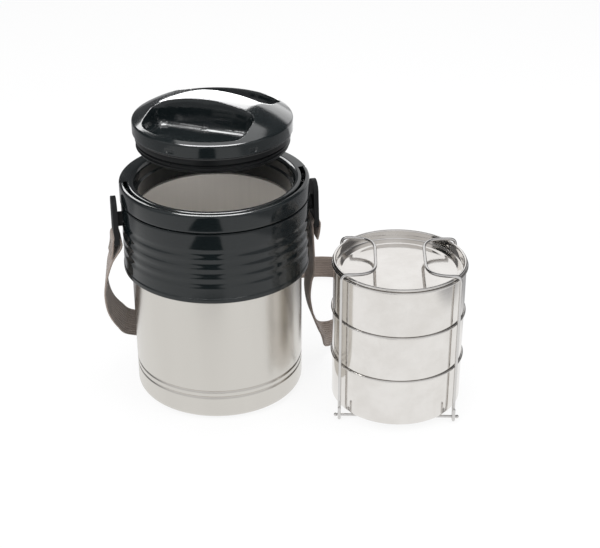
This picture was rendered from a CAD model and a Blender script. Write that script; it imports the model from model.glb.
# %% [markdown]
# # An insulated tiffin carrier, dressed for a studio picture
# The carrier is a steel and plastic jar with a raised lid, and a stack of steel containers
# in a wire carrier beside it. The solid model gives every size and place. This lesson lays
# smooth skins and finishes over it, one piece at a time, so that each cell can be read by
# itself. Shapes are worked out in millimetres and become metres when they are placed, while
# finishes, floor and lamps are in metres throughout.

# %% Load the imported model
import math

import bmesh
import bpy
import numpy as np
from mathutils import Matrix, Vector


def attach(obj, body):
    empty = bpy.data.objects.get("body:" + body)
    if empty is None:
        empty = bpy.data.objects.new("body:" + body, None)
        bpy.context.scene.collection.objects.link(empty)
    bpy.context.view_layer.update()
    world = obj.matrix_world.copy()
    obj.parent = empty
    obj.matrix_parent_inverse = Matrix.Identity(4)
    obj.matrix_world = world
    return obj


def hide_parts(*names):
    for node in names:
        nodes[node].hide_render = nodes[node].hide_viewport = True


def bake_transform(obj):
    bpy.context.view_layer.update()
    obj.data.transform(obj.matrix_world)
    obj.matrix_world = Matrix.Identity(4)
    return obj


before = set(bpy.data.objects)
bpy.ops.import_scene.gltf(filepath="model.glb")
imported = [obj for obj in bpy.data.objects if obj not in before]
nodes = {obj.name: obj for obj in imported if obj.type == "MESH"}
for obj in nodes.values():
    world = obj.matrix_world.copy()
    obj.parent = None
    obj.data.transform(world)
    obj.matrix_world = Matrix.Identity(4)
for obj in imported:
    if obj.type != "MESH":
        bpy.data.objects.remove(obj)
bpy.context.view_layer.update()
MM = 0.001

# %% [markdown]
# ## The camera
# A camera stands about 1.3 m away and looks down on the pieces. Its place and its long lens
# come from fitting circles on the jar and the containers to the ellipses in the picture. The
# jar is turned a little, so the camera stands slightly to its left.

# %% Place the camera
FRAME_WIDTH = 600
FOCAL_PIXELS = 1341.23
CAMERA_PITCH = 0.4868
CAMERA_YAW = math.radians(12.2)
CAMERA_PLACE = Vector((-0.15766, -1.09133, 0.69256))
SENSOR_WIDTH = 36.0

camera_data = bpy.data.cameras.new("studio_camera")
camera_data.sensor_fit = "HORIZONTAL"
camera_data.sensor_width = SENSOR_WIDTH
camera_data.lens = FOCAL_PIXELS / FRAME_WIDTH * SENSOR_WIDTH
camera_data.clip_end = 50.0
camera = bpy.data.objects.new("studio_camera", camera_data)
bpy.context.collection.objects.link(camera)
camera.location = CAMERA_PLACE
camera.rotation_euler = (math.pi / 2 - CAMERA_PITCH, 0.0, -CAMERA_YAW)
bpy.context.scene.camera = camera
print("lens", round(camera_data.lens, 1), "mm")

# %% [markdown]
# ## Shader maths as Python expressions
# Node trees get hard to follow when every sum is a box with wires. One small class wraps an
# output socket, so that `a * b + 0.2` adds the Math nodes by itself. Everything else comes
# from one method, which makes a node, sets it up and feeds its inputs.

# %% A wrapped socket
def feed(tree, target, value):
    """Links a wrapped socket to an input, or sets the input's own value."""
    if isinstance(value, Wire):
        tree.links.new(value.socket, target)
    elif np.shape(value) and len(target.default_value) == 4:
        target.default_value = (*value[:3], 1.0)
    else:
        target.default_value = value


class Wire:
    """One output socket of a node tree, with arithmetic that adds Math nodes."""

    def __init__(self, tree, socket):
        self.tree = tree
        self.socket = socket

    def node(self, kind, settings=None, out=0, **inputs):
        """Adds a node, applies its settings first, then feeds its inputs by name, or by i and
        their index."""
        made = self.tree.nodes.new(kind)
        for key, value in (settings or {}).items():
            setattr(made, key, value)
        for key, value in inputs.items():
            indexed = key[0] == "i" and key[1:].isdigit()
            feed(self.tree, made.inputs[int(key[1:]) if indexed else key], value)
        return Wire(self.tree, made.outputs[out])

    def math(self, operation, *values):
        """A Math node on the given values."""
        inputs = {f"i{place}": value for place, value in enumerate(values)}
        return self.node("ShaderNodeMath", {"operation": operation}, **inputs)

    def __add__(self, other):
        return self.math("ADD", self, other)

    def __radd__(self, other):
        return self.math("ADD", other, self)

    def __sub__(self, other):
        return self.math("SUBTRACT", self, other)

    def __rsub__(self, other):
        return self.math("SUBTRACT", other, self)

    def __mul__(self, other):
        return self.math("MULTIPLY", self, other)

    def __rmul__(self, other):
        return self.math("MULTIPLY", other, self)

    def sine(self):
        """Sine of this value, in radians."""
        return self.math("SINE", self)

    def step(self, low, high):
        """Smooth rise from 0 at low to 1 at high."""
        return self.node("ShaderNodeMapRange", {"interpolation_type": "SMOOTHSTEP"},
                         i0=self, i1=low, i2=high, i3=0.0, i4=1.0)

    def mix(self, first, second):
        """Colour between first and second, by this value."""
        return self.node("ShaderNodeMix", {"data_type": "RGBA"}, out=2,
                         i0=self, i6=first, i7=second)


print("a Wire adds, subtracts, multiplies, steps and mixes")

# %% [markdown]
# Each finish below starts in the same way: one Principled shader, its constant inputs, and
# the Object coordinates that its patterns read. What changes over the surface comes mostly
# from noise on those coordinates, and it goes only into colour, roughness and a bump.

# %% Start of a finish
def finished(made, **inputs):
    """Sets or links inputs of a material's shader, with _ for each space in their names."""
    shader = made.node_tree.nodes["Principled BSDF"]
    for key, value in inputs.items():
        feed(made.node_tree, shader.inputs[key.replace("_", " ")], value)
    return made


def new_material(name, **constants):
    """A material with its constant inputs set, and the wire of its Object coordinates."""
    made = bpy.data.materials.new(name)
    made.use_nodes = True
    finished(made, **constants)
    coordinates = made.node_tree.nodes.new("ShaderNodeTexCoord")
    return made, Wire(made.node_tree, coordinates.outputs["Object"])


def noise(place, scale, detail=3.0, rough=0.5, stretch=(1.0, 1.0, 1.0)):
    """Noise from 0 to 1 on stretched coordinates; scale counts features per metre."""
    spread = place.node("ShaderNodeMapping", Vector=place, Scale=stretch)
    return place.node("ShaderNodeTexNoise", Vector=spread, Scale=scale, Detail=detail,
                      Roughness=rough)


def bump(place, height, distance):
    """A Bump node's normal from a height in 0 to 1 and its depth in metres."""
    return place.node("ShaderNodeBump", Height=height, Distance=distance, Strength=1.0)


print("noise and bump are at hand for every finish")

# %% [markdown]
# ## Steel
# Four kinds of steel meet here. The jacket is satin: fine brush lines run round it and make
# its reflections soft. The containers are spun and polished, so they mirror the studio with
# only faint rings. The liner is matt from drawing, and the wire is bright. What differs is
# the roughness and a very shallow bump. Only the liner is less than full metal in the
# shader, because its dull skin scatters light more than it mirrors.

# %% Steel finishes
def satin_steel():
    """Brushed jacket: long thin noise round the body changes the roughness and the bump."""
    made, place = new_material("jacket_satin_steel", Metallic=1.0)
    lines = noise(place, 260.0, 2.0, stretch=(0.06, 0.06, 9.0))
    cloud = noise(place, 30.0, 2.0, stretch=(1.0, 1.0, 0.12))
    return finished(made, Base_Color=cloud.mix((0.630, 0.607, 0.566), (0.705, 0.682, 0.642)),
                    Roughness=0.19 + 0.08 * lines + 0.04 * cloud,
                    Normal=bump(place, lines, 0.00001))


def polished_steel():
    """Spun container: faint rings of noise by height and radius on a mirror finish."""
    made, place = new_material("spun_polished_steel", Metallic=1.0)
    rings = noise(place, 700.0, 1.0, stretch=(0.03, 0.03, 1.0))
    haze = noise(place, 34.0, 4.0, 0.6).step(0.3, 0.7)
    return finished(made, Base_Color=haze.mix((0.755, 0.730, 0.698), (0.830, 0.808, 0.780)),
                    Roughness=0.05 + 0.04 * rings + 0.04 * haze,
                    Normal=bump(place, rings, 0.000006))


def matt_steel():
    """Drawn liner: an even matt grey with faint upright draw lines."""
    made, place = new_material("liner_matt_steel", Metallic=0.3)
    lines = noise(place, 300.0, 2.0, stretch=(1.0, 1.0, 0.03))
    return finished(made, Base_Color=lines.mix((0.79, 0.763, 0.722), (0.86, 0.83, 0.79)),
                    Roughness=0.5 + 0.1 * lines, Normal=bump(place, lines, 0.00001))


def bright_wire():
    """Drawn wire: bright, with faint die marks."""
    made, place = new_material("bright_wire_steel", Metallic=1.0)
    marks = noise(place, 420.0, 2.0, stretch=(1.0, 1.0, 0.1))
    return finished(made, Base_Color=marks.mix((0.62, 0.605, 0.59), (0.72, 0.71, 0.70)),
                    Roughness=0.12 + 0.08 * marks, Normal=bump(place, marks, 0.000008))


JACKET_STEEL = satin_steel()
BOWL_STEEL = polished_steel()
LINER_STEEL = matt_steel()
WIRE_STEEL = bright_wire()
print("4 steel finishes")

# %% [markdown]
# ## Plastic, rubber, foam
# The collar, neck, bail and lid are one charcoal plastic with a high polish. Up close such a
# moulding is never flat: it has a faint orange peel and a little handling haze. The tabs, the
# slide and the base are a satin black, and the plug under the lid is duller.

# %% Moulded finishes
def glossy_charcoal():
    """Polished charcoal moulding: faint waviness in the normal, haze in the roughness."""
    made, place = new_material("glossy_charcoal", Specular_IOR_Level=0.5, IOR=1.5)
    peel = noise(place, 160.0, 2.0)
    haze = noise(place, 30.0, 4.0, 0.6)
    return finished(made,
                    Base_Color=haze.mix((0.0045, 0.0070, 0.0078), (0.0070, 0.0098, 0.0106)),
                    Roughness=0.09 + 0.09 * haze.step(0.35, 0.8),
                    Normal=bump(place, peel, 0.00003))


def satin_black():
    """Satin black moulding with a fine spark-eroded grain."""
    made, place = new_material("satin_black", Specular_IOR_Level=0.15)
    grain = noise(place, 1800.0, 2.0)
    cloud = noise(place, 60.0)
    return finished(made, Base_Color=cloud.mix((0.010, 0.0105, 0.011), (0.018, 0.0185, 0.019)),
                    Roughness=0.45 + 0.14 * cloud, Normal=bump(place, grain, 0.00004))


def dull_black():
    """Plug moulding: black, with a mould-release dullness that takes most of the gloss."""
    made, place = new_material("dull_black", Specular_IOR_Level=0.2)
    cloud = noise(place, 70.0)
    return finished(made, Base_Color=cloud.mix((0.002, 0.0026, 0.003), (0.004, 0.0047, 0.005)),
                    Roughness=0.24 + 0.1 * cloud)


def seal_rubber():
    """Soft black seal with a dusty bloom."""
    made, place = new_material("seal_rubber")
    bloom = noise(place, 90.0)
    return finished(made, Base_Color=bloom.mix((0.012, 0.012, 0.013), (0.03, 0.03, 0.03)),
                    Roughness=0.55 + 0.15 * bloom)


def pale_foam():
    """Rigid foam with open cells."""
    made, place = new_material("pale_foam")
    cells = place.node("ShaderNodeTexVoronoi", Vector=place, Scale=900.0)
    return finished(made, Base_Color=cells.mix((0.72, 0.66, 0.48), (0.80, 0.75, 0.58)),
                    Roughness=0.8 + 0.1 * cells, Normal=bump(place, cells, 0.0002))


CHARCOAL = glossy_charcoal()
SATIN_BLACK = satin_black()
DULL_BLACK = dull_black()
RUBBER = seal_rubber()
FOAM = pale_foam()
print("5 moulded finishes")

# %% [markdown]
# ## Woven webbing
# The strap is flat grey-brown webbing. Its yarns stand in ribs that run along it, crossed by
# fine weft picks. The piece's UV map is laid out in metres, with u across and v along, so two
# sine waves give ribs and picks at their true size, and a little noise wears the tone.

# %% Webbing finish
RIB_PITCH = 0.0021
PICK_PITCH = 0.0011


def ribbed_webbing():
    """Ribs along and picks across: a sum of two sines of the UV map, as height and tone. The
    rib's sine shifts the pick's phase, so that the picks wave over the ribs."""
    made, place = new_material("ribbed_webbing", Sheen_Weight=0.25, Sheen_Roughness=0.6,
                               Specular_IOR_Level=0.25)
    laid = place.node("ShaderNodeUVMap", {"uv_map": "strap_uv"})
    across = place.node("ShaderNodeSeparateXYZ", Vector=laid)
    along = place.node("ShaderNodeSeparateXYZ", out=1, Vector=laid)
    rib = (across * (2 * math.pi / RIB_PITCH)).sine()
    pick = (along * (2 * math.pi / PICK_PITCH) + rib * 0.9).sine()
    weave = 0.5 + 0.3 * rib + 0.2 * pick
    worn = noise(place, 55.0, 4.0, 0.6).step(0.3, 0.75)
    yarn = worn.mix((0.300, 0.244, 0.208), (0.390, 0.320, 0.276))
    tone = weave.node("ShaderNodeMix", {"data_type": "RGBA", "blend_type": "MULTIPLY"}, out=2,
                      i0=0.9, i6=yarn, i7=weave.mix((0.45, 0.43, 0.41), (1.0, 1.0, 1.0)))
    return finished(made, Base_Color=tone, Roughness=0.86 - 0.1 * weave,
                    Normal=bump(place, weave, 0.0005))


def sewing_thread():
    """Twisted thread: fine stretched noise on a tone a little darker than the webbing."""
    made, place = new_material("sewing_thread", Specular_IOR_Level=0.3)
    twist = noise(place, 2600.0, 1.0, stretch=(1.0, 1.0, 0.4))
    return finished(made, Base_Color=twist.mix((0.20, 0.185, 0.17), (0.30, 0.28, 0.26)),
                    Roughness=0.75 + 0.1 * twist)


WEBBING = ribbed_webbing()
THREAD = sewing_thread()
print(len(bpy.data.materials), "materials so far")

# %% [markdown]
# ## Meshes from grids of points
# Every skin below is a grid: rows run along one parameter of the surface and columns go once
# round it. One helper turns such a grid into quads in a single call. It can close the rows on
# themselves too, and it merges the points of a pole, so that no seam stays open.

# %% Grids to meshes
SHARP_EDGE = math.radians(38.0)
MERGE_DISTANCE = 1e-7


def grid_faces(rows, columns, loop=False):
    """Corner numbers of a grid's quads: columns close on themselves, and in a loop rows do."""
    numbers = np.arange(rows * columns).reshape(rows, columns)
    if loop:
        numbers = np.vstack([numbers, numbers[:1]])
    numbers = np.hstack([numbers, numbers[:, :1]])
    corners = [numbers[:-1, :-1], numbers[:-1, 1:], numbers[1:, 1:], numbers[1:, :-1]]
    return np.stack(corners, axis=-1).reshape(-1, 4)


def smooth_object(name, mesh, material):
    """Object of a mesh in one material, with smooth shading up to the sharp edges."""
    mesh.materials.clear()
    mesh.materials.append(material)
    mesh.polygons.foreach_set("use_smooth", np.ones(len(mesh.polygons), dtype=bool))
    mesh.polygons.foreach_set("material_index", np.zeros(len(mesh.polygons), dtype=np.int32))
    mesh.set_sharp_from_angle(angle=SHARP_EDGE)
    made = bpy.data.objects.new(name, mesh)
    bpy.context.collection.objects.link(made)
    return made


def mesh_from(name, points, faces, material, uv=None):
    """Mesh object from points and quads, with merged poles and outward faces."""
    mesh = bpy.data.meshes.new(name)
    mesh.from_pydata(points.reshape(-1, 3), [], faces.tolist())
    if uv is not None:
        layer = mesh.uv_layers.new(name="strap_uv")
        layer.data.foreach_set("uv", uv.reshape(-1, 2)[faces.reshape(-1)].ravel())
    worked = bmesh.new()
    worked.from_mesh(mesh)
    bmesh.ops.remove_doubles(worked, verts=worked.verts, dist=MERGE_DISTANCE)
    bmesh.ops.recalc_face_normals(worked, faces=worked.faces)
    worked.to_mesh(mesh)
    worked.free()
    return smooth_object(name, mesh, material)


def skin(name, points, material, loop=False, uv=None):
    """Piece from one grid of points in metres."""
    return mesh_from(name, points, grid_faces(*points.shape[:2], loop), material, uv)


def dress(piece, body, slot, *cad_nodes):
    """Lets a piece ride on a body, take a slot's finish and stand for CAD nodes."""
    if cad_nodes:
        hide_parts(*cad_nodes)
    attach(piece, body)
    print(piece.name, len(piece.data.polygons), "faces on", body)


print("edges above", round(math.degrees(SHARP_EDGE)), "degrees stay sharp")

# %% [markdown]
# ## Profiles and turning
# Most of the jar is turned, so a piece is a profile of radius and height carried round an
# axis. A profile is given by its corners, each with the size of its fillet, which is how a
# maker would dimension it. A few more helpers turn and place points.

# %% Profile helpers
def rounded(corners, steps=6):
    """Line through corners whose last number is a fillet: each corner is cut back by its
    fillet on both sides and bridged by a parabola that touches both legs."""
    corners = np.asarray(corners, dtype=float)
    points, fillets = corners[:, :-1], corners[1:-1, -1]
    share = np.linspace(0.0, 1.0, steps)[:, None]
    parts = [points[:1]]
    for before, here, after, fillet in zip(points[:-2], points[1:-1], points[2:], fillets):
        if fillet <= 0.0:
            parts.append(here[None])
            continue
        back, ahead = before - here, after - here
        start = here + back / np.linalg.norm(back) * fillet
        end = here + ahead / np.linalg.norm(ahead) * fillet
        parts.append((1 - share) ** 2 * start + 2 * share * (1 - share) * here
                     + share ** 2 * end)
    return np.vstack([*parts, points[-1:]])


def full_turn(columns):
    """Angles of one turn as a row, without its end."""
    return np.linspace(0.0, 2 * np.pi, columns, endpoint=False)[None, :]


def about_axis(radius, angle, height):
    """Points round an upright axis: x = r cos a, y = r sin a, z as it is."""
    return np.stack(np.broadcast_arrays(radius * np.cos(angle), radius * np.sin(angle), height),
                    axis=-1)


def turned_piece(name, profile, columns, material, loop, centre=(0.0, 0.0)):
    """A turned piece: a looped profile closes on itself, another starts and ends on the axis."""
    points = about_axis(profile[:, :1], full_turn(columns), profile[:, 1:]) + [*centre, 0.0]
    return skin(name, points * MM, material, loop)


def placed(points, angle, shift):
    """Points turned about the upright axis by an angle, then shifted, in metres."""
    turn = np.array([[math.cos(angle), -math.sin(angle), 0.0],
                     [math.sin(angle), math.cos(angle), 0.0], [0.0, 0.0, 1.0]])
    return (points @ turn.T + shift) * MM


def smooth_step(value, low, high):
    """Rises from 0 at low to 1 at high as 6t^5 - 15t^4 + 10t^3."""
    share = np.clip((value - low) / (high - low), 0.0, 1.0)
    return share ** 3 * (share * (6 * share - 15) + 10)


print("a fillet has", len(rounded([(0, 0, 0), (1, 0, 0.5), (1, 1, 0)])) - 2, "points")

# %% [markdown]
# ## The jacket
# The steel jacket is a drawn sleeve with a soft bottom edge and two rolled grooves near its
# foot. It is a surface of revolution, so its profile is all that has to be worked out. The
# grooves are dips in the radius, each shaped like a bell curve of the height.

# %% Steel jacket
JACKET_R, JACKET_WALL, JACKET_HEM_R = 78.0, 0.9, 70.0
JACKET_FOOT, JACKET_EDGE, JACKET_TOP = 1.5, 7.0, 131.0
GROOVES, GROOVE_DEPTH, GROOVE_HALF = (24.5, 30.5), 0.9, 1.0
GROOVED_LOW, GROOVED_HIGH = 21.0, 34.0


def jacket_profile():
    """Outer wall r(z) = R minus a bell curve at each groove, then back down inside. Rows are
    close together only where the grooves are."""
    height = np.concatenate([np.linspace(JACKET_FOOT + JACKET_EDGE, GROOVED_LOW, 10),
                             np.linspace(GROOVED_LOW + 0.2, GROOVED_HIGH, 90),
                             np.linspace(GROOVED_HIGH + 1.0, JACKET_TOP, 40)])
    dips = sum(np.exp(-((height - place) / GROOVE_HALF) ** 2) for place in GROOVES)
    outer = np.column_stack([JACKET_R - GROOVE_DEPTH * dips, height])
    inner = (outer - [JACKET_WALL, 0.0])[::-1]
    bend = np.linspace(-np.pi / 2, 0.0, 14)[:-1]
    edge, inner_edge = (np.column_stack([JACKET_R - JACKET_EDGE + reach * np.cos(bend),
                                         JACKET_FOOT + JACKET_EDGE + reach * np.sin(bend)])
                        for reach in (JACKET_EDGE, JACKET_EDGE - JACKET_WALL))
    return np.vstack([[[JACKET_HEM_R, JACKET_FOOT]], edge, outer, inner, inner_edge[::-1],
                      [[JACKET_HEM_R, JACKET_FOOT + JACKET_WALL]]])


jacket = turned_piece("jacket_skin", jacket_profile(), 288, JACKET_STEEL, True)
dress(jacket, "jar", "jacket_steel", "steel_jacket")

# %% [markdown]
# ## The collar
# The charcoal collar slips over the jacket's top edge. Its lower lip stands out a little, and
# four soft ripples run round its middle as a grip. They are a cosine of the height, which
# starts and ends on the smooth wall without a step.

# %% Collar
COLLAR_R, COLLAR_WALL, COLLAR_BORE = 84.5, 3.0, 78.1
COLLAR_LOW, COLLAR_TOP, COLLAR_EDGE = 126.0, 192.0, 1.2
COLLAR_STOP = JACKET_TOP + 0.1
LIP_OUT, LIP_TALL, LIP_SLOPE = 0.6, 4.0, 0.6
RIPPLE_LOW, RIPPLE_COUNT, RIPPLE_PITCH, RIPPLE_DEPTH = 140.0, 4, 9.5, 0.45
RIPPLE_TALL, RIPPLE_MARGIN, RIPPLE_ROWS = RIPPLE_COUNT * RIPPLE_PITCH, 1.0, 20


def collar_profile():
    """Lip, rippled wall r(z) = R - d/2 (1 - cos(2 pi z / pitch)), rounded top, plain inside."""
    lip_r, lip_top, inner = COLLAR_R + LIP_OUT, COLLAR_LOW + LIP_TALL, COLLAR_R - COLLAR_WALL
    lip = rounded([(COLLAR_BORE, COLLAR_LOW, 0), (lip_r, COLLAR_LOW, 0.6), (lip_r, lip_top, 0.7),
                   (COLLAR_R, lip_top + LIP_SLOPE, 0.5),
                   (COLLAR_R, RIPPLE_LOW - RIPPLE_MARGIN, 0)])
    height = np.linspace(0.0, RIPPLE_TALL, RIPPLE_COUNT * RIPPLE_ROWS + 1)
    wave = RIPPLE_DEPTH / 2 * (1 - np.cos(2 * np.pi * height / RIPPLE_PITCH))
    wall = np.column_stack([COLLAR_R - wave, RIPPLE_LOW + height])
    top = rounded([(COLLAR_R, RIPPLE_LOW + RIPPLE_TALL + RIPPLE_MARGIN, 0),
                   (COLLAR_R, COLLAR_TOP, COLLAR_EDGE), (inner, COLLAR_TOP, 0),
                   (inner, COLLAR_STOP, 0), (COLLAR_BORE, COLLAR_STOP, 0)])
    return np.vstack([lip, wall, top])


collar = turned_piece("collar_skin", collar_profile(), 288, CHARCOAL, True)
dress(collar, "jar", "charcoal_plastic", "collar")

# %% [markdown]
# ## The carry bail
# The bail is half a band round the front of the neck. It ends in round ears that turn on pins.
# One section, a rounded bar, is carried along the arc. Past each pivot its height shrinks as
# the chord of a circle does, so the same sweep also makes the ears.

# %% Carry bail
BAIL_IN, BAIL_OUT, BAIL_MID_Z, BAIL_HALF = 81.3, 85.0, 201.7, 8.8
BAIL_TOP_EDGE, BAIL_LOW_EDGE, BAIL_IN_EDGE = 3.0, 2.6, 0.6
SECTION_GAP = 0.01


def bail_grid(stations=240, ear_stations=24):
    """Section carried along the arc: at depth d behind the pivot the half height is
    sqrt(R^2 - d^2), and in front it is R."""
    reach = math.asin(BAIL_HALF / BAIL_OUT)
    ends = reach * (1 - np.cos(np.linspace(0.0, np.pi / 2, ear_stations)))[::-1]
    front = np.linspace(0.0, -np.pi, stations)
    angle = np.concatenate([ends[:-1], front, -np.pi - ends[::-1][1:]])[:, None]
    depth = np.maximum(BAIL_OUT * np.sin(angle), 0.0)
    half = np.sqrt(np.maximum(BAIL_HALF ** 2 - depth ** 2, 0.0))
    section = rounded([(BAIL_IN, 0.0, 0), (BAIL_IN, BAIL_HALF, BAIL_IN_EDGE),
                       (BAIL_OUT, BAIL_HALF, BAIL_TOP_EDGE),
                       (BAIL_OUT, -BAIL_HALF, BAIL_LOW_EDGE),
                       (BAIL_IN, -BAIL_HALF, BAIL_IN_EDGE), (BAIL_IN, -SECTION_GAP, 0)], 7)
    height = section[None, :, 1] * (half / BAIL_HALF)
    return about_axis(section[None, :, 0], angle, BAIL_MID_Z + height) * MM


bail = skin("bail_skin", bail_grid(), CHARCOAL)
dress(bail, "bail", "charcoal_plastic", "carry_bail")

# %% [markdown]
# ## The neck
# The neck carries the mouth. Its shoulder is full at the back, and in front it is cut back to
# make room for the bail. The ring is one grid: a profile for each angle. Its outer radius goes
# from the full one to the narrow one where the ears of the bail end, and that line is a circle
# round the pivot, so the step down follows the ears.

# %% Neck ring
NECK_R, NECK_FRONT_R, NECK_LOW, NECK_SHELF, NECK_TOP = 85.0, 78.1, 192.1, 192.6, 209.5
NECK_EDGE, MOUTH_R, MOUTH_EDGE, SEAT_Z, SEAT_EDGE = 1.6, 71.2, 4.6, 197.0, 0.3
THROAT_R, THROAT_WALL, THROAT_LOW, THROAT_EDGE = 69.4, 2.0, 183.0, 0.4
SPIGOT_R, SPIGOT_LOW, SHELF_EDGE = 81.4, 187.0, 0.2
EAR_ROOM, EAR_STEP, WALL_ROWS = 9.1, 0.8, 40


def neck_grid(columns=720):
    """Radius = front + (full - front) w, where w is a smooth step of y past the ear's circle;
    rows go up the outside, over the rim, down inside and back under the shoulder."""
    angle = full_turn(columns)
    bend = np.linspace(0.0, np.pi / 2, 8)[1:]
    wall_z = np.concatenate([np.linspace(NECK_SHELF, NECK_TOP - NECK_EDGE, WALL_ROWS),
                             NECK_TOP - NECK_EDGE * (1 - np.sin(bend))])[:, None]
    inset = np.concatenate([np.zeros(WALL_ROWS), NECK_EDGE * (1 - np.cos(bend))])[:, None]
    ear = np.sqrt(np.maximum(EAR_ROOM ** 2 - (wall_z - BAIL_MID_Z) ** 2, 0.0))
    full = smooth_step(NECK_R * np.sin(angle), ear, ear + EAR_STEP)
    wall = about_axis(NECK_FRONT_R + (NECK_R - NECK_FRONT_R) * full - inset, angle, wall_z)
    turn = np.linspace(np.pi / 2, np.pi, 12)
    behind_r = THROAT_R + THROAT_WALL
    inner = np.vstack([
        np.column_stack([MOUTH_R + MOUTH_EDGE * (1 + np.cos(turn)),
                         NECK_TOP - MOUTH_EDGE * (1 - np.sin(turn))]),
        [[MOUTH_R, SEAT_Z + SEAT_EDGE], [MOUTH_R - SEAT_EDGE, SEAT_Z],
         [THROAT_R + THROAT_EDGE, SEAT_Z], [THROAT_R, SEAT_Z - THROAT_EDGE],
         [THROAT_R, THROAT_LOW], [behind_r, THROAT_LOW], [behind_r, SPIGOT_LOW],
         [SPIGOT_R, SPIGOT_LOW], [SPIGOT_R, NECK_LOW], [NECK_R - SHELF_EDGE, NECK_LOW],
         [NECK_R, NECK_LOW + SHELF_EDGE], [NECK_R, NECK_SHELF]]])
    return np.concatenate([wall, about_axis(inner[:, :1], angle, inner[:, 1:])]) * MM


neck = skin("neck_skin", neck_grid(), CHARCOAL, True)
dress(neck, "jar", "charcoal_plastic", "neck_ring")

# %% [markdown]
# ## The lid
# The lid is the hardest moulding here: a shallow dome with two deep finger wells, so that a
# bridge is left between them as a grip. Boolean cuts would leave hard edges. Instead the top
# is a height over the plane: the sphere, lowered by a smooth step of the signed distance to
# the wells' outline. The step rounds the lip and the foot of each wall by itself.

# %% Height of the lid's top
FLANGE_R, FLANGE_LOW, FLANGE_TOP, FLANGE_EDGE = 70.6, 198.5, 210.0, 2.5
DOME_R = 135.0
DOME_Z = FLANGE_TOP - math.sqrt(DOME_R ** 2 - FLANGE_R ** 2)
BRIDGE_HALF, WELL_HALF, WELL_CORNER, WELL_REACH, WELL_FLOOR = 13.0, 47.0, 11.0, 65.6, 203.5
WALL_FROM, WALL_TO, OUTLINE_BLEND = -1.2, 2.4, 6.0
LEDGE_FROM, LEDGE_TO, LEDGE_DROP = 5.0, 6.6, 1.5


def well_distance(x, y):
    """Signed distance to a well's outline, negative inside: a field with round corners beside
    the bridge, cut by a circle inside the rim, with the two joined by a soft maximum."""
    over_x = np.abs(x) - (WELL_HALF - WELL_CORNER)
    over_y = BRIDGE_HALF + WELL_CORNER - np.abs(y)
    field = (np.hypot(np.maximum(over_x, 0), np.maximum(over_y, 0))
             + np.minimum(np.maximum(over_x, over_y), 0) - WELL_CORNER)
    rim = np.hypot(x, y) - WELL_REACH
    soft = np.maximum(OUTLINE_BLEND - np.abs(field - rim), 0.0) / OUTLINE_BLEND
    return np.maximum(field, rim) + soft ** 2 * (OUTLINE_BLEND / 4)


def lid_height(x, y):
    """Sphere height, less the walls' step down to a ledge and a second small step."""
    dome = DOME_Z + np.sqrt(DOME_R ** 2 - x ** 2 - y ** 2)
    inside = -well_distance(x, y)
    wall = smooth_step(inside, WALL_FROM, WALL_TO)
    ledge = smooth_step(inside, LEDGE_FROM, LEDGE_TO)
    return dome - (dome - WELL_FLOOR - LEDGE_DROP) * wall - LEDGE_DROP * ledge


print("bridge top", round(float(lid_height(np.array(0.0), np.array(0.0))), 1), "mm")

# %% [markdown]
# The same polar grid goes on over the rim, down the flange and back under it. Six small snap
# windows are dips in the flange's radius, so they need no cutting either.

# %% Lid cover
LID_TURN, LID_SHIFT = math.radians(-32.0), [0.0, 0.0, 56.5]
WINDOW_COUNT, WINDOW_W, WINDOW_H, WINDOW_DEPTH, WINDOW_LOW = 6, 7.0, 3.6, 0.8, 200.9
WINDOW_START = math.radians(-98.0)
PLUG_IN, LID_SKIN = 63.5, 1.4
EDGE_R = FLANGE_R - FLANGE_EDGE
EDGE_Z = DOME_Z + math.sqrt((DOME_R - FLANGE_EDGE) ** 2 - EDGE_R ** 2)
CROWN_R, TOP_R, FLANK_ROWS = 12.0, 68.9, 30


def window_depth(angle, height):
    """1 inside the snap windows and 0 outside: a smooth step of the distance to the nearest
    window's middle along the flange, times one of the height."""
    pitch = 2 * np.pi / WINDOW_COUNT
    away = np.abs((angle - WINDOW_START + pitch / 2) % pitch - pitch / 2) * FLANGE_R
    tall = np.abs(height - WINDOW_LOW - WINDOW_H / 2)
    return (smooth_step(-away, -WINDOW_W / 2 - 0.2, -WINDOW_W / 2 + 0.6)
            * smooth_step(-tall, -WINDOW_H / 2 - 0.15, -WINDOW_H / 2 + 0.35))


def lid_grid(columns=540):
    """Rows from the top's centre over the rim, down the flange and under it to the axis."""
    angle = full_turn(columns)
    top_r = np.concatenate([np.linspace(0.0, CROWN_R, 8),
                            np.linspace(CROWN_R + 0.6, TOP_R, 98)])[:, None]
    top = about_axis(top_r, angle, lid_height(top_r * np.cos(angle), top_r * np.sin(angle)))
    bend = np.linspace(math.acos(EDGE_R / (DOME_R - FLANGE_EDGE)), 0.0, 9)
    under_z = FLANGE_LOW + LID_SKIN
    side = np.vstack([
        np.column_stack([EDGE_R + FLANGE_EDGE * np.cos(bend),
                         EDGE_Z + FLANGE_EDGE * np.sin(bend)]),
        np.column_stack([np.full(FLANK_ROWS, FLANGE_R),
                         np.linspace(EDGE_Z - 0.5, FLANGE_LOW + 0.9, FLANK_ROWS)]),
        [[FLANGE_R - 0.3, FLANGE_LOW + 0.3], [FLANGE_R - 0.8, FLANGE_LOW],
         [PLUG_IN, FLANGE_LOW], [PLUG_IN, under_z], [0.0, under_z]]])
    radius, height = side[:, :1], side[:, 1:]
    outside = radius > FLANGE_R - 0.1
    radius = radius - WINDOW_DEPTH * window_depth(angle, height) * outside
    return np.concatenate([top, about_axis(radius, angle, height)])


lid = skin("lid_skin", placed(lid_grid(), LID_TURN, LID_SHIFT), CHARCOAL)
dress(lid, "lid", "charcoal_plastic", "lid_cover")

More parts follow.
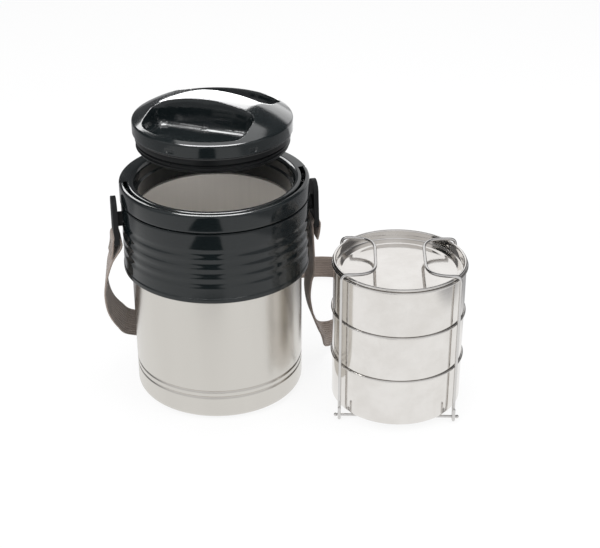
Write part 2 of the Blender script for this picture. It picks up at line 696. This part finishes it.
# %% [markdown]
# Below the flange sits the plug, in two steps, and a rubber ring that seals on the neck. The
# ring is turned. The plug is a turned grid too, but its lower step carries a coarse thread, a
# helix that swells the radius.

# %% Lid plug and seal
PLUG_R, PLUG_LOW_R, PLUG_TOP_R = 68.6, 67.0, 67.2
PLUG_LOW, PLUG_STEP, PLUG_TOP = 184.5, 192.2, 198.4
BAND_LOW, BAND_HIGH, BAND_TOP = 192.7, 197.3, 197.7
THREAD_TALL, THREAD_PITCH, THREAD_HALF, THREAD_ROWS = 1.1, 3.4, 0.75, 48
FADE_LOW, FADE_HIGH, FADE = 0.9, 0.4, 1.0
SEAL_IN, SEAL_OUT, SEAL_LOW, SEAL_MID, SEAL_TOP = 68.8, 69.7, 197.2, 197.8, 198.4


def lid_plug_grid(columns=288):
    """Turned profile whose low step is swollen by a bell curve of the distance to the helix
    z = foot + pitch * turns; the thread fades out at both ends of the step."""
    angle = full_turn(columns)
    foot = rounded([(PLUG_IN, PLUG_TOP, 0), (PLUG_IN, PLUG_LOW, 0.4),
                    (PLUG_LOW_R, PLUG_LOW, 0.8), (PLUG_LOW_R, PLUG_LOW + 0.9, 0)], 5)
    wall = np.column_stack([np.full(THREAD_ROWS, PLUG_LOW_R),
                            np.linspace(PLUG_LOW + 1.0, PLUG_STEP - 0.4, THREAD_ROWS)])
    top = rounded([(PLUG_LOW_R, PLUG_STEP - 0.3, 0), (PLUG_LOW_R, PLUG_STEP, 0.2),
                   (PLUG_R, BAND_LOW, 0.4), (PLUG_R, BAND_HIGH, 0.5),
                   (PLUG_TOP_R, BAND_TOP, 0.2), (PLUG_TOP_R, PLUG_TOP, 0)], 5)
    profile = np.vstack([foot, wall, top])
    radius, height = profile[:, :1], profile[:, 1:]
    off = height - PLUG_LOW - THREAD_PITCH * angle / (2 * np.pi)
    off = (off + THREAD_PITCH / 2) % THREAD_PITCH - THREAD_PITCH / 2
    ends = (smooth_step(height, PLUG_LOW + FADE_LOW, PLUG_LOW + FADE_LOW + FADE)
            * smooth_step(-height, FADE_HIGH - PLUG_STEP, FADE_HIGH + FADE - PLUG_STEP))
    low_step = np.abs(radius - PLUG_LOW_R) < 0.01
    swell = THREAD_TALL * np.exp(-(off / THREAD_HALF) ** 2) * ends * low_step
    return about_axis(radius + swell, angle, height)


plug = skin("plug_skin", placed(lid_plug_grid(), LID_TURN, LID_SHIFT), DULL_BLACK, True)
dress(plug, "lid", "charcoal_plastic", "lid_plug")
seal_profile = rounded([(SEAL_IN, SEAL_MID, 0), (SEAL_IN, SEAL_LOW, 0.1),
                        (SEAL_OUT, SEAL_LOW, 0.4), (SEAL_OUT, SEAL_TOP, 0.3),
                        (SEAL_IN, SEAL_TOP, 0)], 5) + LID_SHIFT[1:]
seal = turned_piece("seal_ring", seal_profile, 216, RUBBER, True)
dress(seal, "lid", "seal_rubber", "lid_gasket")

# %% [markdown]
# ## The liner
# The liner is a deep-drawn steel cup. It shows as the matt grey inside of the jar, with a
# rounded floor and a lip that hangs under the neck.

# %% Liner
LINER_R, LINER_WALL, LINER_FLOOR, LINER_ROUND = 70.0, 0.7, 14.0, 8.0
LINER_LIP_R, LINER_BEND, LINER_LIP, LINER_TOP = 74.9, 178.9, 179.9, 180.6


def liner_profile():
    """From the axis under the floor, up the outside, over the lip and down the inside."""
    outer, under = LINER_R + LINER_WALL, LINER_FLOOR - LINER_WALL
    return rounded([(0.0, under, 0), (outer, under, LINER_ROUND), (outer, LINER_BEND, 0.4),
                    (LINER_LIP_R, LINER_LIP, 0.2), (LINER_LIP_R, LINER_TOP, 0.2),
                    (LINER_R, LINER_TOP, 0.5), (LINER_R, LINER_FLOOR, LINER_ROUND),
                    (0.0, LINER_FLOOR, 0)], 10)


liner = turned_piece("liner_skin", liner_profile(), 216, LINER_STEEL, False)
dress(liner, "jar", "liner_steel", "inner_liner")

# %% [markdown]
# ## The containers
# Three spun steel containers stand on one another. Each has a small step at its foot that
# sits inside the rim below, and a rim rolled outwards into a bead. The bead is an arc of the
# same profile, so wall and rim stay one sheet.

# %% Containers
STACK_AT = (154.1, -71.2)
BOWL_R, BOWL_H, BOWL_WALL, RIM_ROLL, NEST_STEP = 59.4, 48.0, 0.8, 1.2, 3.5
BOWL_FEET = {"container_bottom": 6.0, "container_middle": 50.6, "container_top": 95.2}
NEST_R = BOWL_R - BOWL_WALL - 0.5
WALL_LOW, BOWL_ROWS = 6.0, 8


def rolled_rim(centre_r, centre_z, roll, outer_r, steps=26):
    """Arc of the bead, from where it leaves the outer wall, round outside to the inner wall."""
    start = -math.acos((outer_r - centre_r) / roll)
    turn = np.linspace(start, math.pi, steps)
    return np.column_stack([centre_r + roll * np.cos(turn), centre_z + roll * np.sin(turn)])


def bowl_profile(foot):
    """Underside, foot step, wall, rolled rim, and back down inside to the floor's centre."""
    rim_z, inner, nest_inner = BOWL_H - RIM_ROLL, BOWL_R - BOWL_WALL, NEST_R - BOWL_WALL
    outside = rounded([(0, 0, 0), (NEST_R, 0, 3.0), (NEST_R, NEST_STEP - 0.5, 0.5),
                       (BOWL_R, NEST_STEP, 0.6), (BOWL_R, rim_z - 1.6, 0)])
    wall = np.column_stack([np.full(BOWL_ROWS, BOWL_R),
                            np.linspace(WALL_LOW, rim_z - 2.0, BOWL_ROWS)])
    rim = rolled_rim(inner + RIM_ROLL, rim_z, RIM_ROLL, BOWL_R)
    inside = rounded([(inner, rim_z - 1.0, 0), (inner, NEST_STEP + BOWL_WALL, 0.6),
                      (nest_inner, NEST_STEP + 0.3, 0.4), (nest_inner, BOWL_WALL, 2.2),
                      (0, BOWL_WALL, 0)])
    return np.vstack([outside[:-1], wall, rim, inside]) + [0.0, foot]


for bowl_name, foot in BOWL_FEET.items():
    bowl = turned_piece(bowl_name + "_skin", bowl_profile(foot), 240, BOWL_STEEL, False, STACK_AT)
    dress(bowl, "stack", "polished_steel", bowl_name)

# %% [markdown]
# The cover is a dish that drops into the top container and hangs on its own bead. Its floor
# has a shallow pressed ring, which stiffens the sheet and catches the light.

# %% Cover
COVER_R, COVER_WALL, COVER_ROLL, COVER_RIM_Z, COVER_FLOOR = 58.2, 0.9, 1.3, 144.6, 136.6
PRESSED_R, PRESSED_HALF, PRESSED_TALL = 50.0, 2.0, 0.5
CORNER_R = COVER_R - 3.1


def cover_profile():
    """Underside with a pressed ring, wall, rolled rim, and back over the dish's floor."""
    under_z, inner = COVER_FLOOR - COVER_WALL, COVER_R - COVER_WALL
    radius = np.linspace(0.0, CORNER_R - 0.1, 70)
    ring = PRESSED_TALL * np.exp(-((radius - PRESSED_R) / PRESSED_HALF) ** 2)
    under = np.column_stack([radius, under_z + ring])
    over = np.column_stack([radius, COVER_FLOOR + ring])[::-1]
    corner = rounded([(CORNER_R, under_z, 0), (COVER_R, under_z, 2.6),
                      (COVER_R, COVER_RIM_Z - 1.4, 0)], 7)
    rim = rolled_rim(inner + COVER_ROLL, COVER_RIM_Z, COVER_ROLL, COVER_R)
    dish = rounded([(inner, COVER_RIM_Z - 1.0, 0), (inner, COVER_FLOOR, 1.8),
                    (CORNER_R, COVER_FLOOR, 0)], 7)
    return np.vstack([under, corner, rim, dish, over])


cover = turned_piece("cover_skin", cover_profile(), 240, BOWL_STEEL, False, STACK_AT)
dress(cover, "stack", "polished_steel", "container_cover")

# %% [markdown]
# ## The wire carrier
# The carrier is bent from round wire. Each side is one wire: a hooked foot, a post, half of a
# loop over the cover, and the same again mirrored. A path of corner points is rounded off
# first. Then a circle is carried along it, on a frame that turns only as the path does, so
# that the tube never twists.

# %% Tubes along a path
STACK_TURN, STACK_SHIFT = math.radians(-14.0), [*STACK_AT, 0.0]


def tangents_of(path):
    """Unit directions along a path, from central differences."""
    slope = np.gradient(path, axis=0)
    return slope / np.linalg.norm(slope, axis=1, keepdims=True)


def tube_grid(path, radius, around=16):
    """Circle carried along a path: centre + radius (normal cos a + binormal sin a). The normal
    is moved on from station to station and made square to the path again."""
    tangent = tangents_of(path)
    normal = np.zeros_like(path)
    start = np.eye(3)[np.argmin(np.abs(tangent[0]))]
    for place in range(len(path)):
        start = start - tangent[place] * (start @ tangent[place])
        start = start / np.linalg.norm(start)
        normal[place] = start
    binormal = np.cross(tangent, normal)
    angle = full_turn(around)[..., None]
    reach = np.broadcast_to(np.asarray(radius, dtype=float), len(path))[:, None, None]
    return path[:, None] + reach * (normal[:, None] * np.cos(angle)
                                    + binormal[:, None] * np.sin(angle))


def domed(path, radius, steps=6):
    """Adds half-round ends to a tube: stations whose radius falls to zero as a circle does."""
    bend = np.linspace(0.0, np.pi / 2, steps)[1:]
    tangent = tangents_of(path)
    head = path[0] - tangent[0] * (radius * np.sin(bend))[::-1, None]
    tail = path[-1] + tangent[-1] * (radius * np.sin(bend))[:, None]
    ring = radius * np.cos(bend)
    return (np.vstack([head, path, tail]),
            np.concatenate([ring[::-1], np.full(len(path), radius), ring]))


print("the carrier stands", round(math.hypot(*STACK_AT)), "mm from the jar's axis")

# %% [markdown]
# A post's foot goes under the base wire and up again as a short stub, so the side can swing
# out but can't slip off. The loop's inner bar rests just above the cover.

# %% Carrier sides
WIRE_R, BASE_WIRE_R = 1.45, 1.3
POST_X, POST_Y, POST_MID, POST_BEND = 52.06, 36.45, 80.0, 6.0
LOOP_Z, LOOP_REACH, LOOP_CORNER = 147.65, 22.0, 21.0
BASE_Z, HOOK_R, STUB_H, HOOK_STATIONS = 4.6, 3.15, 9.0, 15
HOOK_Y = POST_Y + HOOK_R


def side_path():
    """Stub, half circle under the base wire, post, loop, and the mirrored way back."""
    under = np.linspace(-np.pi, 0.0, HOOK_STATIONS)
    hook = np.column_stack([np.full(HOOK_STATIONS, -POST_X), -HOOK_Y + HOOK_R * np.cos(under),
                            BASE_Z + HOOK_R * np.sin(under)])
    stub = np.array([[-POST_X, -HOOK_Y - HOOK_R, BASE_Z + STUB_H]])
    loop = rounded([(-POST_X, -POST_Y, BASE_Z + 1.0, 0), (-POST_X, -POST_Y, POST_MID, 1.0),
                    (-POST_X, -POST_Y, LOOP_Z, POST_BEND),
                    (-LOOP_REACH, -POST_Y, LOOP_Z, LOOP_CORNER),
                    (-LOOP_REACH, 0.0, LOOP_Z, 0)], 9)
    half = np.vstack([stub, hook, loop])
    return np.vstack([half, (half * [1.0, -1.0, 1.0])[::-1][1:]])


for sign, side in ((1.0, "left"), (-1.0, "right")):
    tube = tube_grid(*domed(side_path(), WIRE_R)) * [sign, sign, 1.0]
    wire = skin(f"carrier_{side}_wire", placed(tube, STACK_TURN, STACK_SHIFT), WIRE_STEEL)
    dress(wire, f"carrier_{side}", "wire_steel", f"carrier_side_{side}")

# %% [markdown]
# The base is two long wires through the hooks, with upset knobs at their ends, and two ties
# welded across them. Each long wire is one tube whose radius swells into the knob.

# %% Carrier base
BASE_END, KNOB_R, KNOB_TURN = 55.41, 1.7, 0.82 * math.pi
TIE_X, TIE_R, BASE_STATIONS = 22.0, BASE_WIRE_R * 0.9, 12


def knob_wire(end_y):
    """Straight tube along X whose radius follows a ball of the knob's radius at each end."""
    ball = np.linspace(0.0, KNOB_TURN, BASE_STATIONS)
    tip = BASE_END + KNOB_R * np.cos(ball)
    swell = np.maximum(KNOB_R * np.sin(ball), np.where(ball > np.pi / 2, BASE_WIRE_R, 0.0))
    along = np.concatenate([-tip, np.linspace(-tip[-1] + 1, tip[-1] - 1, BASE_STATIONS),
                            tip[::-1]])
    reach = np.concatenate([swell, np.full(BASE_STATIONS, BASE_WIRE_R), swell[::-1]])
    path = np.column_stack([along, np.full_like(along, end_y), np.full_like(along, BASE_Z)])
    return tube_grid(path, reach)


def tie_wire(tie_x):
    """Straight tube along Y between the two long wires, with its ends inside them."""
    along = np.linspace(-HOOK_Y, HOOK_Y, BASE_STATIONS)
    path = np.column_stack([np.full_like(along, tie_x), along, np.full_like(along, BASE_Z)])
    return tube_grid(*domed(path, TIE_R))


base_grids = [knob_wire(HOOK_Y), knob_wire(-HOOK_Y), tie_wire(TIE_X), tie_wire(-TIE_X)]
starts = np.cumsum([0] + [grid.shape[0] * grid.shape[1] for grid in base_grids])
base_faces = np.vstack([grid_faces(*grid.shape[:2]) + start
                        for grid, start in zip(base_grids, starts)])
base_points = np.vstack([grid.reshape(-1, 3) for grid in base_grids])
base = mesh_from("carrier_base_wire", placed(base_points, STACK_TURN, STACK_SHIFT), base_faces,
                 WIRE_STEEL)
dress(base, "stack", "wire_steel", "carrier_base")

# %% [markdown]
# ## The strap
# One length of webbing is threaded through the slot of each tab, folded back and sewn. From
# there it falls beside the jar and lies on its edge behind it, where a slide joins the two
# stretches. The route's points are the same as in the solid model: a place, with its height
# above the lying strap, and the direction that the webbing's width has there.

# %% Strap routes
STRAP_W, STRAP_T, STRAP_LINE, LIE_Z = 25.0, 1.8, 91.0, 13.0
FOLD_R, FOLD_Z, FOLD_TAIL, FOLD_LEAD, LEAD_OUT = 3.5, 158.3, 16.0, 6.0, 0.3
LEFT_ROUTE = [(-96.4, 3.5, 124, 0, 1, 0), (-100.8, 8.5, 105.5, 0.1, 1, 0),
              (-102, 15.9, 85, 0.2, 1, 0.1), (-98.5, 24.4, 64, 0.3, 1, 0.3),
              (-90.1, 36.9, 44.1, 0.3, 0.8, 0.7), (-78.9, 53.9, 25.5, 0.2, 0.4, 1),
              (-47.3, 83.9, 4, 0.1, 0.1, 1), (-23.2, 119.6, 0, 0, 0, 1), (9.4, 147.4, 0, 0, 0, 1),
              (46.1, 166, 0, 0, 0, 1), (82.9, 175.4, 0, 0, 0, 1), (115.9, 177.5, 0, 0, 0, 1),
              (136, 176.3, 0, 0, 0, 1), (151, 172.3, 0, 0, 0, 1), (158.8, 167.6, 0, 0, 0, 1)]
RIGHT_ROUTE = [(89.5, 0.6, 98.9, 0, 1, 0), (86.9, 1.7, 83.8, 0, 1, 0.05),
               (86.4, 3.8, 66.5, 0, 1, 0.15), (90.2, 7.1, 45.7, -0.1, 1, 0.4),
               (97.5, 12.7, 26.1, -0.3, 0.8, 0.8), (108.5, 22.6, 6.6, -0.3, 0.3, 1),
               (132.2, 38.9, 4, 0, 0.1, 1), (155.3, 60.5, 0, 0, 0, 1), (173.4, 87.3, 0, 0, 0, 1),
               (182, 112, 0, 0, 0, 1), (184.2, 130, 0, 0, 0, 1), (180.6, 143.5, 0, 0, 0, 1),
               (175.2, 151.2, 0, 0, 0, 1)]
LEFT_LEAN, RIGHT_LEAN = 2.6, -2.2
STRAPS = {"left": (-1.0, LEFT_LEAN, LEFT_ROUTE), "right": (1.0, RIGHT_LEAN, RIGHT_ROUTE)}


def fold_stations(sign, lean):
    """Up the sewn tail, over the tab's lower bar in half a circle, and down inside."""
    share = np.array([1.0, 0.66, 0.33])
    tail = np.column_stack([STRAP_LINE + FOLD_R + lean * share ** 2, FOLD_Z - FOLD_TAIL * share])
    turn = np.radians([0, 45, 90, 135, 180])
    arc = np.column_stack([STRAP_LINE + FOLD_R * np.cos(turn), FOLD_Z + FOLD_R * np.sin(turn)])
    lead = np.array([[STRAP_LINE - FOLD_R + LEAD_OUT, FOLD_Z - FOLD_LEAD]])
    flat = np.vstack([tail, arc, lead])
    zero = np.zeros(len(flat))
    return np.column_stack([sign * flat[:, 0], zero, flat[:, 1], zero, zero + 1.0, zero])


print("stations:", len(LEFT_ROUTE), "on the left and", len(RIGHT_ROUTE), "on the right")

# %% [markdown]
# A smooth curve runs through the stations, and a flat, round-edged section follows it. Its
# width is held to the direction that each station gives, so the webbing can lie flat on the
# jar's side and then turn on its edge.

# %% Strap bands
ROUTE_STEPS, FLAT_POINTS = 8, 14


def smooth_through(stations, steps):
    """Catmull-Rom curve: between two stations a cubic of the four nearest ones."""
    padded = np.vstack([stations[:1], stations, stations[-1:]])
    t = (np.arange(steps) / steps)[None, :, None]
    a, b, c, d = (part[:, None] for part in (padded[:-3], padded[1:-2], padded[2:-1], padded[3:]))
    curve = 0.5 * (2 * b + (c - a) * t + (2 * a - 5 * b + 4 * c - d) * t ** 2
                   + (3 * b - a - 3 * c + d) * t ** 3)
    return np.vstack([curve.reshape(-1, stations.shape[1]), stations[-1:]])


def strap_frame(sign, lean, route):
    """Points of the strap's middle, unit directions along it, across it and out of its face,
    and the distance run at each point."""
    route = np.asarray(route, dtype=float) + [0, 0, LIE_Z, 0, 0, 0]
    line = smooth_through(np.vstack([fold_stations(sign, lean), route]), ROUTE_STEPS)
    middle, width = line[:, :3], line[:, 3:]
    along = tangents_of(middle)
    face = np.cross(along, width)
    face = face / np.linalg.norm(face, axis=1, keepdims=True)
    lengths = np.linalg.norm(np.diff(middle, axis=0), axis=1)
    return middle, along, np.cross(face, along), face, np.concatenate([[0.0], np.cumsum(lengths)])


def strap_section(steps=7):
    """Outline of the webbing: flat faces with half-round edges, as across and out of face."""
    half_t = STRAP_T / 2
    inner = STRAP_W / 2 - half_t
    edge = np.linspace(-np.pi / 2, np.pi / 2, steps)
    flat = np.linspace(-inner, inner, FLAT_POINTS)
    right = np.column_stack([inner + half_t * np.cos(edge), half_t * np.sin(edge)])
    low = np.column_stack([flat, np.full(FLAT_POINTS, -half_t)])[1:-1]
    return np.vstack([right, -low, -right, low])


def strap_band(name, sign, lean, route):
    """Section carried along the strap's frame, closed at both ends by shrunken stations."""
    middle, _, across, face, run = strap_frame(sign, lean, route)
    section = strap_section()
    rings = (middle[:, None] + across[:, None] * section[None, :, :1]
             + face[:, None] * section[None, :, 1:])
    head, tail = (np.broadcast_to(end, rings[:1].shape) for end in (middle[0], middle[-1]))
    rings = np.concatenate([head, rings, tail])
    length = np.concatenate([run[:1], run, run[-1:]])
    uv = np.stack(np.broadcast_arrays(section[None, :, 0], length[:, None]), axis=-1) * MM
    return skin(name, rings * MM, WEBBING, uv=uv), run[-1] * MM


webbing = {side: strap_band(f"strap_{side}_webbing", *way) for side, way in STRAPS.items()}
print("webbing in metres:", {side: round(length, 3) for side, (_, length) in webbing.items()})

# %% [markdown]
# The webbing is cloth, cut flat to its width and length, so each stretch is declared as a
# sheet. Near a tab it follows the tab, and further down it stays with the jar, and between
# the two it bends.

# %% Hang the strap
for side, (strap, length) in webbing.items():
    sign = STRAPS[side][0]
    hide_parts(f"strap_{side}")
    sign * STRAP_LINE * MM
    sign * STRAP_LINE * MM
    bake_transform(strap)
    print(strap.name, "hangs from", f"strap_tab_{side}")

# %% [markdown]
# ## Sewing
# The folded tail is sewn down with a box of stitches with a cross in it. Each stitch is a
# short, thick-waisted grain of thread laid on the webbing's face, so one small grid is
# repeated at every stitch with whole-array sums.

# %% Stitches on the tails
STITCH_LEN, STITCH_R, STITCH_PITCH, STITCH_RAISED = 1.7, 0.28, 2.2, 0.05
STITCH_RINGS, STITCH_SIDES = 7, 6
BOX_HALF, BOX_LOW, BOX_HIGH = 9.0, 2.5, 11.5


def stitch_lines():
    """Starts and ends of the sewn lines on the tail, as across and distance from its end."""
    left, right, low, high = -BOX_HALF, BOX_HALF, BOX_LOW, BOX_HIGH
    return np.array([[left, low, right, low], [right, low, right, high], [right, high, left, high],
                     [left, high, left, low], [left, low, right, high], [left, high, right, low]])


def stitch_spots():
    """Middle and direction of every stitch, spread evenly along the sewn lines."""
    spots = []
    for line in stitch_lines():
        start, step = line[:2], line[2:] - line[:2]
        reach = math.hypot(*step)
        count = int(reach / STITCH_PITCH)
        share = (np.arange(count) + 0.5)[:, None] / count
        spots.append(np.hstack([start + share * step, np.tile(step / reach, (count, 1))]))
    return np.vstack(spots)


def stitches(name, sign, lean, route):
    """A grain of thread at every spot: length along the line, radius r sqrt(1 - t^2)."""
    *fields, run = strap_frame(sign, lean, route)
    spots = stitch_spots()
    place, forward, sideways, out = (
        np.stack([np.interp(spots[:, 1], run, field[:, axis]) for axis in range(3)], axis=-1)
        for field in fields)
    outward = np.sign((out * place)[:, :2].sum(axis=1))[:, None] * out
    centre = place + sideways * spots[:, :1] + outward * (STRAP_T / 2 + STITCH_RAISED)
    lead = sideways * spots[:, 2:3] + forward * spots[:, 3:4]
    cross = np.cross(outward, lead)
    centre, lead, outward, cross = (field[:, None, None] for field in
                                    (centre, lead, outward, cross))
    t = np.linspace(-1.0, 1.0, STITCH_RINGS)[None, :, None, None]
    angle = full_turn(STITCH_SIDES)[:, None, :, None]
    swell = STITCH_R * np.sqrt(np.maximum(1 - t ** 2, 0.0))
    grid = (centre + lead * t * STITCH_LEN / 2
            + swell * (outward * np.cos(angle) + cross * np.sin(angle)))
    starts = np.arange(len(spots)) * STITCH_RINGS * STITCH_SIDES
    faces = grid_faces(STITCH_RINGS, STITCH_SIDES)[None] + starts[:, None, None]
    return mesh_from(name, grid * MM, faces.reshape(-1, 4), THREAD)


for side, way in STRAPS.items():
    dress(stitches(f"strap_{side}_stitches", *way), f"tab_{side}", "webbing")

# %% [markdown]
# ## Mouldings that keep their solid shape
# The tabs and the slide have the right shape already. Only their edges are too sharp, because
# a mould always leaves a small radius. So each gets a copy of its solid, merged into clean
# faces, with a narrow bevel on its sharp edges.

# %% Softened copies
TAB_BEVEL, SLIDE_BEVEL = 0.0009, 0.0006
SOLID_MERGE, FLAT_ANGLE = 2e-6, math.radians(0.6)


def softened(node_name, width):
    """Copy of a node's mesh: loose triangles merged, flat faces joined, sharp edges bevelled."""
    mesh = nodes[node_name].data.copy()
    worked = bmesh.new()
    worked.from_mesh(mesh)
    bmesh.ops.remove_doubles(worked, verts=worked.verts, dist=SOLID_MERGE)
    bmesh.ops.dissolve_limit(worked, angle_limit=FLAT_ANGLE, verts=worked.verts,
                             edges=worked.edges)
    worked.to_mesh(mesh)
    worked.free()
    made = smooth_object(node_name + "_moulded", mesh, SATIN_BLACK)
    bevel = made.modifiers.new("soft_edges", "BEVEL")
    bevel.width = width
    bevel.segments = 3
    bevel.limit_method = "ANGLE"
    bevel.angle_limit = SHARP_EDGE
    bevel.harden_normals = True
    return made


for node_name, width, body in (("strap_tab_left", TAB_BEVEL, "tab_left"),
                               ("strap_tab_right", TAB_BEVEL, "tab_right"),
                               ("strap_slider", SLIDE_BEVEL, "jar")):
    dress(softened(node_name, width), body, "black_plastic", node_name)

# %% [markdown]
# The rest of the solids are plain and partly hidden. They stay as they are and only get their
# finish.

# %% Finishes on the solids that stay
STAYING = {"base_disc": SATIN_BLACK, "foam_core": FOAM, "bail_pin_left": SATIN_BLACK,
           "bail_pin_right": SATIN_BLACK, "strap_stud_left": SATIN_BLACK,
           "strap_stud_right": SATIN_BLACK, "lid_foam": FOAM, "lid_liner": LINER_STEEL}
for node_name, material in STAYING.items():
    nodes[node_name].data.materials.clear()
    nodes[node_name].data.materials.append(material)
print(len(STAYING), "solids keep their shape")

# %% [markdown]
# ## Floor and light
# The picture has a white ground and soft light from all round. The floor is a wide white
# sheet that keeps a faint shadow. Polished walls mirror it, and in a real studio the lit
# sheet has an end, and the camera's stand leaves a dark gap in front of it. So mirrored rays
# see white on the sheet, grey past its ends and black in the gap. This gives the steel its
# grey edges and the dark plastic its upright bands.

# %% White floor
FLOOR_HALF, FLOOR_Z, FLOOR_SHADE = 4.0, -0.0003, 0.14
WHITE, FLOOR_WHITE = (1.0, 1.0, 1.0), (0.92, 0.92, 0.92)
SHEET_WHITE, ROOM_GREY, GAP_BLACK = (0.93, 0.93, 0.93), (0.42, 0.42, 0.43), (0.03, 0.03, 0.03)
SHEET_LEFT, SHEET_RIGHT, SHEET_BACK = (-0.65, -0.55), (0.40, 0.48), (0.05, 0.15)
GAP_LEFT, GAP_RIGHT, GAP_BACK = (-0.20, -0.18), (0.07, 0.09), (-0.40, -0.34)
TO_RIGHT = (math.cos(CAMERA_YAW), -math.sin(CAMERA_YAW), 0.0)
TO_BACK = (math.sin(CAMERA_YAW), math.cos(CAMERA_YAW), 0.0)


def bare_tree(owner):
    """An empty node tree for a material or a world."""
    owner.use_nodes = True
    owner.node_tree.nodes.clear()
    return owner.node_tree


def close_tree(surface, kind):
    """Links a shader to the output node of its tree."""
    output = surface.tree.nodes.new(kind)
    surface.tree.links.new(surface.socket, output.inputs["Surface"])


def ray_kinds(tree, *kinds):
    """Wires that are 1 for rays of each named kind, and 0 for all others."""
    paths = tree.nodes.new("ShaderNodeLightPath")
    return [Wire(tree, paths.outputs[f"Is {kind} Ray"]) for kind in kinds]


def reach_along(vector, direction):
    """Dot product: how far a place or a direction reaches along another direction."""
    return vector.node("ShaderNodeVectorMath", {"operation": "DOT_PRODUCT"}, out=1,
                       i0=vector, i1=direction)


def mirrored_floor(place):
    """The floor as mirrors see it: a white sheet with soft ends, and a dark gap in front."""
    right, back = reach_along(place, TO_RIGHT), reach_along(place, TO_BACK)
    sheet = (right.step(*SHEET_LEFT) * (1 - right.step(*SHEET_RIGHT))
             * (1 - back.step(*SHEET_BACK)))
    gap = right.step(*GAP_LEFT) * (1 - right.step(*GAP_RIGHT)) * (1 - back.step(*GAP_BACK))
    return gap.mix(sheet.mix(ROOM_GREY, SHEET_WHITE), GAP_BLACK)


floor_mesh = bpy.data.meshes.new("studio_floor")
floor_mesh.from_pydata([(-FLOOR_HALF, -FLOOR_HALF, FLOOR_Z), (FLOOR_HALF, -FLOOR_HALF, FLOOR_Z),
                        (FLOOR_HALF, FLOOR_HALF, FLOOR_Z), (-FLOOR_HALF, FLOOR_HALF, FLOOR_Z)],
                       [], [(0, 1, 2, 3)])
floor = bpy.data.objects.new("studio_floor", floor_mesh)
bpy.context.collection.objects.link(floor)
floor_paint = bpy.data.materials.new("white_floor")
tree = bare_tree(floor_paint)
camera_ray, glossy, through = ray_kinds(tree, "Camera", "Glossy", "Transmission")
place = Wire(tree, tree.nodes.new("ShaderNodeTexCoord").outputs["Object"])
paint = place.node("ShaderNodeBsdfDiffuse", Color=FLOOR_WHITE)
white = place.node("ShaderNodeEmission", Color=glossy.mix(WHITE, mirrored_floor(place)))
direct = place.math("MAXIMUM", camera_ray, through) * (1.0 - FLOOR_SHADE)
seen = place.math("MAXIMUM", direct, glossy)
close_tree(place.node("ShaderNodeMixShader", i0=seen, i1=paint, i2=white),
           "ShaderNodeOutputMaterial")
floor_mesh.materials.append(floor_paint)
print("floor of", 2 * FLOOR_HALF, "m")

# %% [markdown]
# The world is a soft grey for light and white where it is seen directly. In mirrors it is a
# room that is pale on the camera's side and dark behind the pieces, which gives the steel its
# contrast.

# %% World
WORLD_LIGHT, ROOM_FRONT, ROOM_BACK = (0.5, 0.5, 0.51), (0.72, 0.72, 0.73), (0.14, 0.14, 0.145)
ROOM_TURN = (-0.35, 0.15)

world = bpy.data.worlds.new("studio_world")
bpy.context.scene.world = world
tree = bare_tree(world)
camera_ray, glossy = ray_kinds(tree, "Camera", "Glossy")
sky = Wire(tree, tree.nodes.new("ShaderNodeTexCoord").outputs["Generated"])
room = reach_along(sky, TO_BACK).step(*ROOM_TURN).mix(ROOM_FRONT, ROOM_BACK)
shade = glossy.mix(camera_ray.mix(WORLD_LIGHT, WHITE), room)
close_tree(sky.node("ShaderNodeBackground", Color=shade), "ShaderNodeOutputWorld")
bpy.context.scene.view_settings.view_transform = "Standard"
print("world with", len(tree.nodes), "nodes")

# %% [markdown]
# Three large softboxes light everything, and no mirror shows them, because their square
# shapes would stand out in the polished steel. A pale card behind the containers is mirrored
# in their cover. The dark mouldings live from reflections, so they get lamps of their own,
# which reach only their gloss: one close behind the lid for its bridge, a card for the lid's
# dome, and a strip and two softboxes for the bright lines along every rounded edge.

# %% Lamps
def softbox(name, place, aim, width, height, power, mirrored=True):
    """A rectangular lamp that faces a point, and that gloss mirrors or not."""
    lamp = bpy.data.lights.new(name, "AREA")
    lamp.shape = "RECTANGLE"
    lamp.size, lamp.size_y, lamp.energy = width, height, power
    made = bpy.data.objects.new(name, lamp)
    made.location = place
    made.rotation_euler = (Vector(aim) - Vector(place)).to_track_quat("-Z", "Y").to_euler()
    made.visible_camera, made.visible_glossy = False, mirrored
    bpy.context.collection.objects.link(made)
    return made


def keep_to(lamp, *pieces):
    """Lets a lamp light some pieces only, and only their gloss."""
    lit = bpy.data.collections.new(lamp.name + "_lit")
    for piece in pieces:
        lit.objects.link(piece)
    lamp.light_linking.receiver_collection = lit
    lamp.visible_diffuse = False


softbox("key_softbox", (-0.9, -1.0, 1.3), (0.0, 0.0, 0.1), 1.4, 1.4, 17.0, False)
softbox("fill_softbox", (1.3, -0.7, 1.1), (0.1, 0.0, 0.1), 1.2, 1.2, 9.0, False)
softbox("top_softbox", (0.1, 0.2, 1.6), (0.05, 0.0, 0.1), 1.4, 1.4, 15.0, False)
softbox("cover_card", (0.200, 0.121, 0.265), (0.137, -0.172, 0.265), 0.24, 0.19, 0.125)
for gloss in (softbox("bridge_softbox", (0.057, 0.325, 0.462), (-0.0065, 0.032, 0.462),
                      0.26, 0.276, 2.0),
              softbox("dome_card", (0.517, 0.829, 0.55), (0.05, 0.0, 0.27), 0.5, 0.4, 0.9)):
    keep_to(gloss, lid)
for gloss in (softbox("edge_strip", (-0.11, -0.44, 1.25), (0.0, 0.0, 0.2), 1.3, 0.70, 62.0),
              softbox("sheen_softbox", (0.1, 0.2, 1.45), (0.05, 0.0, 0.1), 1.2, 1.2, 11.0),
              softbox("rim_softbox", (-0.351, 1.052, 1.06), (-0.05, 0.0, 0.2), 0.6, 0.6, 9.0)):
    keep_to(gloss, collar, bail, neck, lid)
print(len(bpy.data.lights), "lamps")
